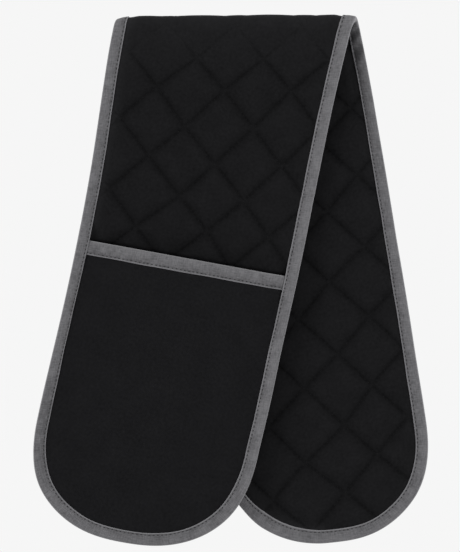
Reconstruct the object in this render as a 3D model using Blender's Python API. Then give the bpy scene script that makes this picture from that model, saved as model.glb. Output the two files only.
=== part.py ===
"""Double oven glove: one quilted strip with a pocket at each end, folded over a rail.

Every layer is cut flat, in pattern coordinates, and then bent over the fold:
  x  across the fold, s  along the cloth from the fold (front leg +, rear leg -),
  h  out from the middle of the quilt.
The strip itself has coordinates u (across) and v (along). It leans to the fold line and
bends slightly in its own plane, so that the two legs hang apart like an inverted V.
The origin is on the inside of the fold, where the cloth lies on a rail. Metres, Z up.
"""
import math

import bmesh
import bpy
from mathutils import Vector

# Strip outline, measured to the outside of the binding.
HALF_LENGTH = 0.4396
HALF_WIDTH_AT_FOLD = 0.0944
HALF_WIDTH_AT_POCKET = 0.0912
TAPER_LENGTH = 0.159
END_LENGTH = 0.0877
LEAN_ANGLE = math.radians(13.65)

# How the legs bend in their own plane: the front one first one way, with a sideways bow.
FRONT_BEND_RADIUS = -5.68
REAR_BEND_RADIUS = 3.26
FRONT_BOW = 0.0055
FRONT_BOW_LENGTH = 0.398

# How square each corner of a rounded end is: the power of its superellipse.
CORNER_SHARES = {(1, -1): 2.5, (1, 1): 2.25, (-1, -1): 1.8, (-1, 1): 2.35}

# Fold: radius of the middle of the quilt, and the half angle of the part on the rail.
FOLD_RADIUS = 0.0075
CROWN_HALF_ANGLE = math.radians(45)
FOLD_STEP_ANGLE = math.radians(15)

# Layers.
CLOTH = 0.0005
LAYER_GAP = 0.0003
STITCHED_WADDING = 0.0016
WADDING_PUFF = 0.0018
CLOTH_PUFF = 0.0022
PUFF_SHOULDER = 0.0016
PUFF_TOP_SHARE = 0.6

# Diamond quilting: spacing, direction and first line of its two sets of stitch lines.
QUILT_SPACINGS = (0.0398, 0.0414)
QUILT_ANGLES = (math.radians(49.3), math.radians(139.8))
QUILT_STARTS = (0.0016, 0.0079)
LEAST_CELL_SHARE = 0.3
LEAST_EDGE = 0.0006
SAME_POINT = 0.000003
LEVEL_ENOUGH = math.cos(1)

# Pockets.
MOUTH_DISTANCE = 0.2040
POCKET_EASE = 0.0120
FREE_PUFF_LIFT = 0.0090
POCKET_EDGE_WADDING = 0.0010
POCKET_WADDING_SWELL = 0.0015
CROWN_POWER_SHARE = 4

# Bindings.
BINDING_CLOTH = 0.0008
BINDING_WIDTH = 0.0106
MOUTH_BINDING_WIDTH = 0.0120
BINDING_RUN_UP = 0.0130

# Stations: places along the straight sides, round an end and across the mouth.
STRAIGHT_SHARES = (0, 0.3, 0.56, 0.8)
BELOW_MOUTH_SHARES = (0.35, 0.7, 1)
END_STEPS = 7
POCKET_ROW_SHARES = (0.25, 0.42, 0.6, 0.76, 0.88)
POCKET_COLUMN_SHARES = (0, 0.38, 0.72)

# Derived heights above the middle of the quilt.
QUILT_EDGE = STITCHED_WADDING / 2 + LAYER_GAP + CLOTH
BINDING_LIP = BINDING_CLOTH + LAYER_GAP
POCKET_STACK = 2 * CLOTH + 2 * LAYER_GAP + POCKET_EDGE_WADDING
BAND_WIDTH = BINDING_WIDTH + LAYER_GAP
MOUTH_BAND_END = MOUTH_DISTANCE + MOUTH_BINDING_WIDTH + LAYER_GAP
FOLD_HALF_ARC = FOLD_RADIUS * math.pi / 2
SEAM_DISTANCE = FOLD_RADIUS * CROWN_HALF_ANGLE
RAIL_TOP = FOLD_RADIUS - QUILT_EDGE
STRAIGHT_LENGTH = HALF_LENGTH - END_LENGTH
TIP_INSIDE = HALF_LENGTH - BAND_WIDTH

COLLECTION_NAME = "oven_glove"
LEGS = (("front", 1), ("rear", -1))
SIDES = (("left", -1), ("right", 1))
CELL = 1


# Shape of the strip in the flat

def ramp(value, start, length):
    """Smooth step from 0 before start to 1 after start + length."""
    share = min(max((value - start) / length, 0), 1)
    return share * share * (3 - 2 * share)


def side_half_width(v):
    """Half width of the straight sides: widest at the fold, even from the pockets on."""
    share = min(abs(v) / TAPER_LENGTH, 1)
    flare = HALF_WIDTH_AT_FOLD - HALF_WIDTH_AT_POCKET
    return HALF_WIDTH_AT_POCKET + flare * (1 + math.cos(math.pi * share)) / 2


def front_bow(s):
    """Sideways shift of the front leg: nothing at the fold, most in its middle, nothing below."""
    share = min(max(s / FRONT_BOW_LENGTH, 0), 1)
    return FRONT_BOW * math.sin(math.pi * share) ** 2


def pattern_point(u, v):
    """Strip coordinates to the pattern: an arc for each leg, leaning at the fold."""
    radius = FRONT_BEND_RADIUS if v >= 0 else REAR_BEND_RADIUS
    heading = heading_at(v)
    reach = radius + u
    s = reach * math.sin(heading) - radius * math.sin(LEAN_ANGLE)
    x = reach * math.cos(heading) - radius * math.cos(LEAN_ANGLE) + front_bow(s)
    return x, s


def strip_point(x, s):
    """Pattern coordinates back to the strip's own."""
    x -= front_bow(s)
    on_front = s * math.cos(LEAN_ANGLE) >= x * math.sin(LEAN_ANGLE)
    radius = FRONT_BEND_RADIUS if on_front else REAR_BEND_RADIUS
    turn = math.copysign(1, radius)
    centre_x = turn * (x + radius * math.cos(LEAN_ANGLE))
    centre_s = turn * (s + radius * math.sin(LEAN_ANGLE))
    u = turn * math.hypot(centre_x, centre_s) - radius
    v = (math.atan2(centre_s, centre_x) - LEAN_ANGLE) * radius
    return u, v


def heading_at(v):
    """Direction across the strip, as an angle in the pattern."""
    return LEAN_ANGLE + v / (FRONT_BEND_RADIUS if v >= 0 else REAR_BEND_RADIUS)


def side_stations():
    """Distances from the fold at which the straight side of a leg has a point."""
    above = [share * MOUTH_DISTANCE for share in STRAIGHT_SHARES]
    ramps = [MOUTH_DISTANCE - BINDING_RUN_UP - BINDING_LIP, MOUTH_DISTANCE - BINDING_LIP,
             MOUTH_BAND_END, MOUTH_BAND_END + BINDING_RUN_UP]
    rest = STRAIGHT_LENGTH - ramps[-1]
    below = [ramps[-1] + share * rest for share in BELOW_MOUTH_SHARES]
    return above + ramps + below


def end_point(leg, side, step, inset):
    """A point of a rounded end, by its angle round a superellipse corner."""
    power = CORNER_SHARES[leg, side]
    angle = math.pi / 2 * step / END_STEPS
    across = math.cos(angle)
    along = math.sin(angle)
    scale = (across ** power + along ** power) ** (-1 / power)
    u = side * (HALF_WIDTH_AT_POCKET - inset) * across * scale
    v = leg * (STRAIGHT_LENGTH + (END_LENGTH - inset) * along * scale)
    return u, v


def outline_points(inset):
    """The whole outline, or a smaller one of the same shape that lies inside it."""
    points = []
    for leg, side in ((1, 1), (1, -1), (-1, -1), (-1, 1)):
        quarter = [(side * (side_half_width(v) - inset), leg * v) for v in side_stations()]
        quarter += [end_point(leg, side, step, inset) for step in range(1, END_STEPS + 1)]
        if leg * side < 0:
            quarter.reverse()
        points += quarter[:-1]
    return points


def inside_half_width(v, side):
    """Half width of the strip inside its binding's lip, at a distance along it."""
    leg = 1 if v >= 0 else -1
    half_width = side_half_width(v) - BAND_WIDTH
    if abs(v) <= STRAIGHT_LENGTH:
        return half_width
    share = min((abs(v) - STRAIGHT_LENGTH) / (TIP_INSIDE - STRAIGHT_LENGTH), 1)
    power = CORNER_SHARES[leg, side]
    return half_width * (1 - share ** power) ** (1 / power)


def pocket_lift(x, s):
    """How far the pocket stands off the quilt: most in mid mouth, nothing at its sewn edge."""
    u, v = strip_point(x, s)
    along = min(max((abs(v) - MOUTH_DISTANCE) / (TIP_INSIDE - MOUTH_DISTANCE), 0), 1)
    room = inside_half_width(v, 1 if u >= 0 else -1)
    if room <= LAYER_GAP:
        return 0
    across = min(abs(u) / room, 1)
    return POCKET_EASE * (1 - across ** CROWN_POWER_SHARE) * (1 - along ** CROWN_POWER_SHARE)


def lip_lift(v):
    """Extra height of the pocket's layers where they lie on the mouth binding's inner lip."""
    return BINDING_LIP * (1 - ramp(abs(v), MOUTH_BAND_END, BINDING_RUN_UP))


def edge_height(v):
    """Height of the layers that the edge binding holds, quilt alone or quilt and pocket."""
    start = MOUTH_DISTANCE - BINDING_LIP - BINDING_RUN_UP
    raised = ramp(abs(v), start, BINDING_RUN_UP)
    return QUILT_EDGE + raised * (LAYER_GAP + POCKET_STACK + 2 * lip_lift(v))


# Cutting and bending

def cut(bm, point, normal, clear_outer=False, clear_inner=False):
    """Cut the mesh with a plane that stands on the pattern."""
    bmesh.ops.bisect_plane(
        bm, geom=bm.verts[:] + bm.edges[:] + bm.faces[:], dist=SAME_POINT,
        plane_co=(point[0], point[1], 0), plane_no=(normal[0], normal[1], 0),
        clear_outer=clear_outer, clear_inner=clear_inner)


def keep_between(bm, s_from, s_to):
    """Trim to a stretch of the pattern between two lines along the fold."""
    cut(bm, (0, s_from), (0, 1), clear_inner=True)
    cut(bm, (0, s_to), (0, 1), clear_outer=True)


def cut_fold_lines(bm):
    """Lines along the fold, so that the cloth can bend there."""
    steps = round(math.pi / 2 / FOLD_STEP_ANGLE)
    for step in range(-steps, steps + 1):
        cut(bm, (0, step * FOLD_STEP_ANGLE * FOLD_RADIUS), (0, 1))


def bend_over_fold(bm):
    """Wrap the pattern round the fold and let both ends hang straight down."""
    for vert in bm.verts:
        x, s, h = vert.co
        leg = 1 if s >= 0 else -1
        radius = FOLD_RADIUS + h
        angle = min(abs(s), FOLD_HALF_ARC) / FOLD_RADIUS
        drop = max(abs(s) - FOLD_HALF_ARC, 0)
        vert.co = (x, -leg * radius * math.sin(angle), radius * math.cos(angle) - drop - RAIL_TOP)
    bmesh.ops.reverse_faces(bm, faces=bm.faces[:])


def leg_range(leg):
    """Stretch of the pattern that belongs to one leg, clear of the crown's end."""
    near = leg * (SEAM_DISTANCE + LAYER_GAP / 2)
    far = leg * (HALF_LENGTH + END_LENGTH)
    return min(near, far), max(near, far)


def crown_range():
    """Stretch of the pattern that lies on the rail."""
    half = SEAM_DISTANCE - LAYER_GAP / 2
    return -half, half


def flat_blank():
    """The strip's cloth in the flat: a band under the binding round a middle face."""
    bm = bmesh.new()
    edge = [bm.verts.new((*pattern_point(u, v), 0)) for u, v in outline_points(BINDING_LIP)]
    inside = [bm.verts.new((*pattern_point(u, v), 0)) for u, v in outline_points(BAND_WIDTH)]
    middle = bm.faces.new(inside)
    middle.material_index = CELL
    for index in range(len(edge)):
        after = (index + 1) % len(edge)
        bm.faces.new((edge[index], edge[after], inside[after], inside[index]))
    bmesh.ops.recalc_face_normals(bm, faces=bm.faces[:])
    if middle.normal.z < 0:
        bmesh.ops.reverse_faces(bm, faces=bm.faces[:])
    return bm


def cut_quilting(bm):
    """Cut along both sets of stitch lines."""
    reach = HALF_LENGTH + END_LENGTH
    for spacing, angle, start in zip(QUILT_SPACINGS, QUILT_ANGLES, QUILT_STARTS):
        normal = (math.cos(angle), math.sin(angle))
        count = math.ceil(reach / spacing)
        for index in range(-count, count + 1):
            distance = start + index * spacing
            cut(bm, (distance * normal[0], distance * normal[1]), normal)


def weld_short_edges(bm):
    """Merge points that two cuts left almost together."""
    bmesh.ops.remove_doubles(bm, verts=bm.verts[:], dist=LEAST_EDGE)
    bmesh.ops.dissolve_degenerate(bm, edges=bm.edges[:], dist=SAME_POINT)


def make_slab(bm, bottom, top):
    """Close a flat pattern into a slab between two height functions of the pattern."""
    lower = bm.verts[:]
    raised = bmesh.ops.extrude_face_region(bm, geom=bm.faces[:])["geom"]
    upper = [item for item in raised if isinstance(item, bmesh.types.BMVert)]
    for vert in lower:
        vert.co.z = bottom(vert.co.x, vert.co.y)
    for vert in upper:
        vert.co.z = top(vert.co.x, vert.co.y)
    bmesh.ops.recalc_face_normals(bm, faces=bm.faces[:])


# Quilted layers

def cell_share(face, under_pocket):
    """How much of its full puff a cell has: less where it is cut off or held down."""
    whole = QUILT_SPACINGS[0] * QUILT_SPACINGS[1]
    share = math.sqrt(min(face.calc_area() / whole, 1))
    if share < LEAST_CELL_SHARE:
        return 0
    centre = face.calc_center_median()
    v = strip_point(centre.x, centre.y)[1]
    if under_pocket and abs(v) > MOUTH_DISTANCE:
        share *= min(pocket_lift(centre.x, centre.y) / FREE_PUFF_LIFT, 1)
    return share


def puff_cells(bm, facing, rise, shoulder, under_pocket):
    """Raise each quilted cell to a crown, over a shoulder where one is given."""
    cells = [face for face in bm.faces
             if face.material_index == CELL and face.normal.z * facing > LEVEL_ENOUGH]
    for face in cells:
        share = cell_share(face, under_pocket)
        if not share:
            continue
        centre = face.calc_center_median()
        if shoulder:
            bmesh.ops.inset_individual(bm, faces=[face], thickness=LAYER_GAP)
            for vert in face.verts:
                vert.co = centre.lerp(vert.co, PUFF_TOP_SHARE)
                vert.co.z = centre.z + facing * shoulder * share
        crown = bmesh.ops.poke(bm, faces=[face])["verts"][0]
        crown.co = centre + Vector((0, 0, facing * rise * share))


def quilt_layer(low, high, stretch, puffs):
    """One layer of the quilt between two heights at its stitch lines, bent over the fold."""
    bm = flat_blank()
    keep_between(bm, *stretch)
    cut_fold_lines(bm)
    if puffs:
        cut_quilting(bm)
    weld_short_edges(bm)
    make_slab(bm, lambda x, s: low, lambda x, s: high)
    for facing, rise, shoulder, under_pocket in puffs:
        puff_cells(bm, facing, rise, shoulder, under_pocket)
    bend_over_fold(bm)
    return bm


def outer_shell(stretch, puffed=True):
    low = STITCHED_WADDING / 2 + LAYER_GAP
    puffs = ((1, CLOTH_PUFF, PUFF_SHOULDER, True), (-1, -WADDING_PUFF, 0, True))
    return quilt_layer(low, low + CLOTH, stretch, puffs if puffed else ())


def inner_shell(stretch, puffed=True):
    high = -STITCHED_WADDING / 2 - LAYER_GAP
    puffs = ((-1, CLOTH_PUFF, PUFF_SHOULDER, False), (1, -WADDING_PUFF, 0, False))
    return quilt_layer(high - CLOTH, high, stretch, puffs if puffed else ())


def wadding(stretch, puffed=True):
    half = STITCHED_WADDING / 2
    puffs = ((1, WADDING_PUFF, 0, True), (-1, WADDING_PUFF, 0, False))
    return quilt_layer(-half, half, stretch, puffs if puffed else ())


# Pockets

def pocket_base(x, s):
    """Underside of the pocket's lining."""
    v = strip_point(x, s)[1]
    return QUILT_EDGE + LAYER_GAP + lip_lift(v) + pocket_lift(x, s)


def pocket_wadding_thickness(x, s):
    return POCKET_EDGE_WADDING + POCKET_WADDING_SWELL * pocket_lift(x, s) / POCKET_EASE


def pocket_top(x, s):
    """Outside of the pocket's shell."""
    return pocket_base(x, s) + pocket_wadding_thickness(x, s) + 2 * (CLOTH + LAYER_GAP)


def pocket_pattern(leg):
    """The pocket in the flat, cut in rows and columns, with its raw edge in the mouth binding."""
    bm = flat_blank()
    raw_edge = MOUTH_DISTANCE + BINDING_LIP
    length = TIP_INSIDE - raw_edge
    rows = [MOUTH_BAND_END, MOUTH_BAND_END + BINDING_RUN_UP]
    rows += [raw_edge + share * length for share in POCKET_ROW_SHARES]
    for v in [raw_edge] + rows:
        heading = heading_at(leg * v)
        normal = (-leg * math.sin(heading), leg * math.cos(heading))
        cut(bm, pattern_point(0, leg * v), normal, clear_inner=(v == raw_edge))
    for share in POCKET_COLUMN_SHARES:
        for side in (-1, 1) if share else (1,):
            u = side * share * HALF_WIDTH_AT_POCKET
            x, s = pattern_point(u, leg * raw_edge)
            x_below, s_below = pattern_point(u, leg * MOUTH_BAND_END)
            cut(bm, (x, s), (s_below - s, x - x_below))
    weld_short_edges(bm)
    bmesh.ops.triangulate(bm, faces=bm.faces[:], quad_method="FIXED", ngon_method="EAR_CLIP")
    return bm


def pocket_layer(leg, bottom, top):
    bm = pocket_pattern(leg)
    make_slab(bm, bottom, top)
    bend_over_fold(bm)
    return bm


def pocket_lining(leg):
    return pocket_layer(leg, pocket_base, lambda x, s: pocket_base(x, s) + CLOTH)


def pocket_wadding(leg):
    def bottom(x, s):
        return pocket_base(x, s) + CLOTH + LAYER_GAP

    def top(x, s):
        return bottom(x, s) + pocket_wadding_thickness(x, s)

    return pocket_layer(leg, bottom, top)


def pocket_shell(leg):
    return pocket_layer(leg, lambda x, s: pocket_top(x, s) - CLOTH, pocket_top)


# Bindings

def channel_section(width, low, high):
    """Section of a strip folded round an edge: pairs of inset and height, once round it."""
    outer_low = low - BINDING_LIP
    outer_high = high + BINDING_LIP
    outside = [(width, outer_low), (BINDING_CLOTH, outer_low), (0, low - LAYER_GAP),
               (0, high + LAYER_GAP), (BINDING_CLOTH, outer_high), (width, outer_high)]
    inside = [(width, high + LAYER_GAP), (BINDING_CLOTH, high + LAYER_GAP),
              (BINDING_CLOTH, low - LAYER_GAP), (width, low - LAYER_GAP)]
    return outside + inside


def loft(bm, sections, closed):
    """Join sections of equal point counts; an open loft gets both ends capped."""
    rings = [[bm.verts.new(point) for point in section] for section in sections]
    pairs = zip(rings, rings[1:] + rings[:1]) if closed else zip(rings, rings[1:])
    for ring, after in pairs:
        for index in range(len(ring)):
            following = (index + 1) % len(ring)
            bm.faces.new((ring[index], ring[following], after[following], after[index]))
    if not closed:
        bm.faces.new(rings[0])
        bm.faces.new(rings[-1])
    bmesh.ops.recalc_face_normals(bm, faces=bm.faces[:])


def edge_binding(stretch, side=0):
    """Binding round the strip's edge, trimmed to a stretch; on one side of it if given."""
    bm = bmesh.new()
    loops = [outline_points(inset) for inset, height in channel_section(BINDING_WIDTH, 0, 0)]
    sections = []
    for points in zip(*loops):
        shape = channel_section(BINDING_WIDTH, -QUILT_EDGE, edge_height(points[0][1]))
        sections.append([(*pattern_point(u, v), height)
                         for (u, v), (inset, height) in zip(points, shape)])
    loft(bm, sections, closed=True)
    keep_between(bm, *stretch)
    if side:
        middle = [vert for vert in bm.verts if vert.co.x * side < 0]
        bmesh.ops.delete(bm, geom=middle, context="VERTS")
    open_edges = [edge for edge in bm.edges if edge.is_boundary]
    bmesh.ops.holes_fill(bm, edges=open_edges, sides=0)
    bmesh.ops.recalc_face_normals(bm, faces=bm.faces[:])
    cut_fold_lines(bm)
    bend_over_fold(bm)
    return bm


def mouth_binding(leg):
    """Binding over the pocket's top edge, its ends tucked under the edge binding."""
    bm = bmesh.new()
    tuck = HALF_WIDTH_AT_POCKET - BINDING_LIP
    places = [share * HALF_WIDTH_AT_POCKET for share in POCKET_COLUMN_SHARES]
    places += [side_half_width(MOUTH_DISTANCE) - BAND_WIDTH, tuck]
    stations = [-place for place in reversed(places[1:])] + places
    sections = []
    for u in stations:
        section = []
        raw_point = pattern_point(u, leg * (MOUTH_DISTANCE + BINDING_LIP))
        low = pocket_base(*raw_point)
        high = pocket_top(*raw_point)
        for inset, height in channel_section(MOUTH_BINDING_WIDTH, low, high):
            x, s = pattern_point(u, leg * (MOUTH_DISTANCE + inset))
            section.append((x, s, height))
        sections.append(section)
    loft(bm, sections, closed=False)
    bend_over_fold(bm)
    return bm


# Objects

def make_material(name, colour, roughness):
    material = bpy.data.materials.new(name)
    material.use_nodes = True
    shader = material.node_tree.nodes["Principled BSDF"]
    shader.inputs["Base Color"].default_value = (*colour, 1)
    shader.inputs["Roughness"].default_value = roughness
    shader.inputs["Metallic"].default_value = 0
    return material


BLACK_CLOTH = ("black_cotton", (0.011, 0.011, 0.012), 0.9)
LINING_CLOTH = ("black_lining", (0.009, 0.009, 0.010), 0.92)
GREY_BINDING = ("grey_binding", (0.140, 0.140, 0.146), 0.85)
WADDING_FELT = ("cotton_wadding", (0.62, 0.60, 0.55), 1.0)


def place_object(name, bm, finish, collection, parent, axis):
    """Make one closed object whose origin lies on the joint axis that its body turns about."""
    bmesh.ops.triangulate(bm, faces=bm.faces[:], quad_method="FIXED", ngon_method="EAR_CLIP")
    for face in bm.faces:
        face.material_index = 0
    bmesh.ops.translate(bm, verts=bm.verts[:], vec=-axis)
    mesh = bpy.data.meshes.new(name)
    bm.to_mesh(mesh)
    bm.free()
    mesh.materials.append(make_material(f"{name}_{finish[0]}", finish[1], finish[2]))
    item = bpy.data.objects.new(name, mesh)
    item.parent = parent
    if parent is None:
        item.location = axis
    collection.objects.link(item)


def hinge_point(leg):
    """A leg turns about the outside of its seam with the crown, where the cloth stays joined."""
    radius = FOLD_RADIUS + QUILT_EDGE + BINDING_LIP
    return Vector((0, -leg * radius * math.sin(CROWN_HALF_ANGLE),
                   radius * math.cos(CROWN_HALF_ANGLE) - RAIL_TOP))


def build_leg(collection, name, leg):
    axis = hinge_point(leg)
    pivot = bpy.data.objects.new(f"{name}_leg_pivot", None)
    pivot.location = axis
    collection.objects.link(pivot)
    stretch = leg_range(leg)
    pieces = (
        ("outer_shell", outer_shell(stretch), BLACK_CLOTH),
        ("wadding", wadding(stretch), WADDING_FELT),
        ("inner_shell", inner_shell(stretch), BLACK_CLOTH),
        ("pocket_lining", pocket_lining(leg), LINING_CLOTH),
        ("pocket_wadding", pocket_wadding(leg), WADDING_FELT),
        ("pocket_shell", pocket_shell(leg), BLACK_CLOTH),
        ("mouth_binding", mouth_binding(leg), GREY_BINDING),
        ("edge_binding", edge_binding(stretch), GREY_BINDING),
    )
    for piece, bm, finish in pieces:
        place_object(f"{name}_{piece}", bm, finish, collection, pivot, axis)


def build_crown(collection):
    stretch = crown_range()
    origin = Vector((0, 0, 0))
    pieces = [
        ("crown_outer_shell", outer_shell(stretch, puffed=False), BLACK_CLOTH),
        ("crown_wadding", wadding(stretch, puffed=False), WADDING_FELT),
        ("crown_inner_shell", inner_shell(stretch, puffed=False), BLACK_CLOTH),
    ]
    for side_name, side in SIDES:
        pieces.append((f"crown_binding_{side_name}", edge_binding(stretch, side), GREY_BINDING))
    for name, bm, finish in pieces:
        place_object(name, bm, finish, collection, None, origin)


def main():
    for item in list(bpy.data.objects):
        bpy.data.objects.remove(item, do_unlink=True)
    collection = bpy.data.collections.new(COLLECTION_NAME)
    bpy.context.scene.collection.children.link(collection)
    build_crown(collection)
    for name, leg in LEGS:
        build_leg(collection, name, leg)


main()
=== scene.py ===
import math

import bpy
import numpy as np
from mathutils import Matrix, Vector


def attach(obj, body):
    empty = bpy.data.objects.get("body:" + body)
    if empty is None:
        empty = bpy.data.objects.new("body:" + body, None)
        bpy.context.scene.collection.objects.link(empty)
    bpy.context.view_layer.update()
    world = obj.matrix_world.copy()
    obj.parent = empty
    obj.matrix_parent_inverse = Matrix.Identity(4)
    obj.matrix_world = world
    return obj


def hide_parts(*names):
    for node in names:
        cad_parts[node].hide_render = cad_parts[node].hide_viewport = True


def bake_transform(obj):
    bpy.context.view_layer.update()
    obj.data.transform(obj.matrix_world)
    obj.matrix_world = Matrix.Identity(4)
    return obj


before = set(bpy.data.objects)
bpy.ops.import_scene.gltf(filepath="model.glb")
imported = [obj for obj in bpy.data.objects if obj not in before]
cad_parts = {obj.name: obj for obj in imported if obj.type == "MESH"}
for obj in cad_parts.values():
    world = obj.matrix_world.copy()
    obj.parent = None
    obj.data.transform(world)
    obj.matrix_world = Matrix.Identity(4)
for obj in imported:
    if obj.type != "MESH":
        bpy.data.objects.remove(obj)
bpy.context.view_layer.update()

# Looks of a black quilted double oven glove with grey bindings, hung over its fold.
#
# Every surface is worked out on the flat strip and then hung over the fold:
#   u  across the strip, v  along it from the fold (front leg +, rear leg -),
#   h  out from the middle of the quilt, s  down from the fold line (front leg +, rear leg -).
# Metres, Z up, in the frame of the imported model. A pair named RISE or RUN is the start and the
# length of a smooth step.

MM = 0.001
LEGS = (("front", 1), ("rear", -1))

# Strip outline, the same as the solids have.
HALF_LENGTH = 0.4396
HALF_WIDTH_AT_FOLD = 0.0944
HALF_WIDTH_AT_POCKET = 0.0912
TAPER_LENGTH = 0.159
END_LENGTH = 0.0877
STRAIGHT_LENGTH = HALF_LENGTH - END_LENGTH
LEAN_ANGLE = math.radians(13.65)
FRONT_BEND_RADIUS = -5.68
REAR_BEND_RADIUS = 3.26
FRONT_BOW = 0.0055
FRONT_BOW_LENGTH = 0.398
CORNER_POWERS = {(1, -1): 2.5, (1, 1): 2.25, (-1, -1): 1.8, (-1, 1): 2.35}

# Fold and layers, the same as the solids have.
FOLD_RADIUS = 0.0075
FOLD_HALF_ARC = FOLD_RADIUS * math.pi / 2
CLOTH = 0.0005
LAYER_GAP = 0.0003
QUILT_EDGE = 0.0016
RAIL_TOP = FOLD_RADIUS - QUILT_EDGE
BINDING_CLOTH = 0.0008
BINDING_LIP = BINDING_CLOTH + LAYER_GAP
BINDING_WIDTH = 0.0106
BAND_WIDTH = BINDING_WIDTH + LAYER_GAP
BINDING_RUN_UP = 0.0130
TIP_INSIDE = HALF_LENGTH - BAND_WIDTH

# Pockets, as the solids have them but for the width of the mouth binding.
MOUTH_DISTANCE = 0.2040
MOUTH_BINDING_WIDTH = 0.0117
MOUTH_BAND_END = MOUTH_DISTANCE + MOUTH_BINDING_WIDTH + LAYER_GAP
POCKET_EASE = 0.0120
FREE_PUFF_LIFT = 0.0090
POCKET_EDGE_WADDING = 0.0010
POCKET_WADDING_SWELL = 0.0015
POCKET_STACK = 2 * CLOTH + 2 * LAYER_GAP + POCKET_EDGE_WADDING
CROWN_POWER = 4

# The front mouth isn't quite square to the strip, and it bends up at its right end.
MOUTH_SLOPES = {1: 0.021, -1: 0.0}
MOUTH_DROP = 0.0006
MOUTH_END_LIFT = 0.0003
MOUTH_END_RISE = (0.064, 0.018)

# The photo's camera and frame.
PHOTO_MIDDLE = (230, 276)
PIXEL = 0.0008165
CAMERA_DISTANCE = 4.0
CAMERA_PLACE = (-0.00469, -0.2081)
CAMERA_LENS = 319.5
CAMERA_SENSOR_WIDTH = 36
CAMERA_CLIP_END = 100

# Quilting: numbers of the two stitch lines that cross, and the crossing's place in the photo
# in its pixels. The front ones are on the outer face, the rear ones on the inner face.
FRONT_CROSSINGS = np.array([
    (0, 0, 196.7, 59.3), (1, -1, 264.3, 59.3), (0, 1, 156.7, 86.0), (1, 0, 224.3, 89.3),
    (2, -1, 291.0, 90.7), (1, 1, 184.3, 127.7), (2, 0, 253.3, 129.3), (1, 2, 148.3, 155.0),
    (2, 1, 214.3, 163.3), (3, 0, 281.7, 165.7), (2, 2, 180.0, 196.7), (3, 1, 243.3, 201.7),
    (2, 3, 135.0, 226.7), (3, 2, 206.7, 231.0), (4, 1, 267.7, 237.3)])
REAR_CROSSINGS = np.array([
    (0, -4, 350.0, 108.3), (-1, -5, 356.0, 175.0), (-2, -6, 365.0, 246.7), (-3, -6, 328.3, 281.7),
    (-3, -7, 369.3, 316.0), (-4, -6, 297.7, 320.0), (-4, -7, 338.3, 354.3), (-5, -7, 303.3, 387.7),
    (-4, -8, 371.0, 385.7), (-5, -8, 345.0, 425.7), (-6, -8, 305.0, 463.3), (-5, -9, 376.0, 454.0),
    (-7, -8, 273.3, 500.0), (-6, -9, 345.7, 492.3)])
FRONT_CROSSING_HEIGHT = 0.0030
REAR_CROSSING_HEIGHT = -0.0030
QUILT_UNIT = 0.1
BUMP_REACH = 0.045
BUMP_SLACK = 0.12
QUILT_SPACING = 0.0405
PUFF = 0.0021
PUFF_POWER = 3.2
PUFF_FADE = 0.0075
PUCKER_DEPTH = 0.00022
PUCKER_LENGTH = 0.0052
PUCKER_REACH = 0.0036
PUCKER_WOBBLE = 2.2
PUCKER_WOBBLE_TURNS = 7.3
CALM_FOLD_RISE = (0.006, 0.018)
# The painted shade along the stitch lines rises from nothing at the fold by this step.
CREASE_RISE = (0.012, 0.026)

# The fold as it lies in the photo: fuller in its middle, sunk at its left end, calm quilting.
FOLD_SWELL = 0.0010
FOLD_SWELL_REACH = 0.034
SWELL_RISE = (0.002, 0.009)
RIGHT_SWELL = 0.00055
RIGHT_SWELL_RISE = (-0.018, 0.030)
RIGHT_SWELL_INSET = 0.006
FOLD_PUFF_SHARE = 0.35
FOLD_DROOP = 0.0026
FOLD_DROOP_LENGTH = 0.013
FOLD_DROOP_DEPTH = 0.0030
SHOULDER = 0.0020
SHOULDER_FRONT_FADE = 0.016
SHOULDER_REAR_RUN = (0.060, 0.090)

# Small strays of the sides: leg, side, where down the leg, how far along it, and to the right.
STRAYS = (
    (1, -1, 0.020, 0.030, -0.0004), (1, -1, 0.135, 0.075, 0.0005), (1, -1, 0.325, 0.060, -0.0006),
    (1, -1, 0.385, 0.020, -0.0008), (1, -1, 0.420, 0.015, 0.0017), (1, 1, 0.070, 0.045, -0.00075),
    (1, 1, 0.320, 0.036, 0.00115), (1, 1, 0.410, 0.020, 0.0012), (-1, 1, 0.130, 0.035, 0.00095),
    (-1, 1, 0.400, 0.030, 0.0008))
STRAY_RIGHT = 0.0011
STRAY_LEFT = 0.0052
STRAY_LEFT_RISE = (0.050, 0.030)
STRAY_RISE = (0.27, 0.07)
END_STRETCH = 0.0011
END_STRETCH_RISE = (0.390, 0.035)
END_FILL = 0.0011
END_RAISE = 0.0003
END_FILL_TURNS = 1.19
END_FILL_RISE = (0.380, 0.035)

# Slow waves of the hanging cloth: share, turns along, slant across and start of each sine wave.
SWAY_DEPTH = 0.0009
SWAY_LENGTH = 0.210
SWAY_WAVES = ((0.7, 1, 1.3, 0), (0.3, 1.7, -2.1, 1))
POCKET_WAVE_DEPTH = 0.0009
POCKET_WAVE_LENGTH = 0.190
POCKET_WAVE_START = 0.35
POCKET_WAVES = ((1, 1, 14, 0), (0.6, -0.5, 31, 0.8))

# Gathers of the binding behind the fold's right shoulder.
GATHER_DEPTH = 0.0014
GATHER_LENGTH = 0.0135
GATHER_SLANT = 0.9
GATHER_PLACE = 0.024
GATHER_REACH = 0.020
GATHER_WOBBLE = 0.9
GATHER_WOBBLE_TURNS = 0.43
VALLEY_SHADE = 0.5
CORNER_SHADE = 0.45
CORNER_SHADE_RUN = (0.05, 0.09)

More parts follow.
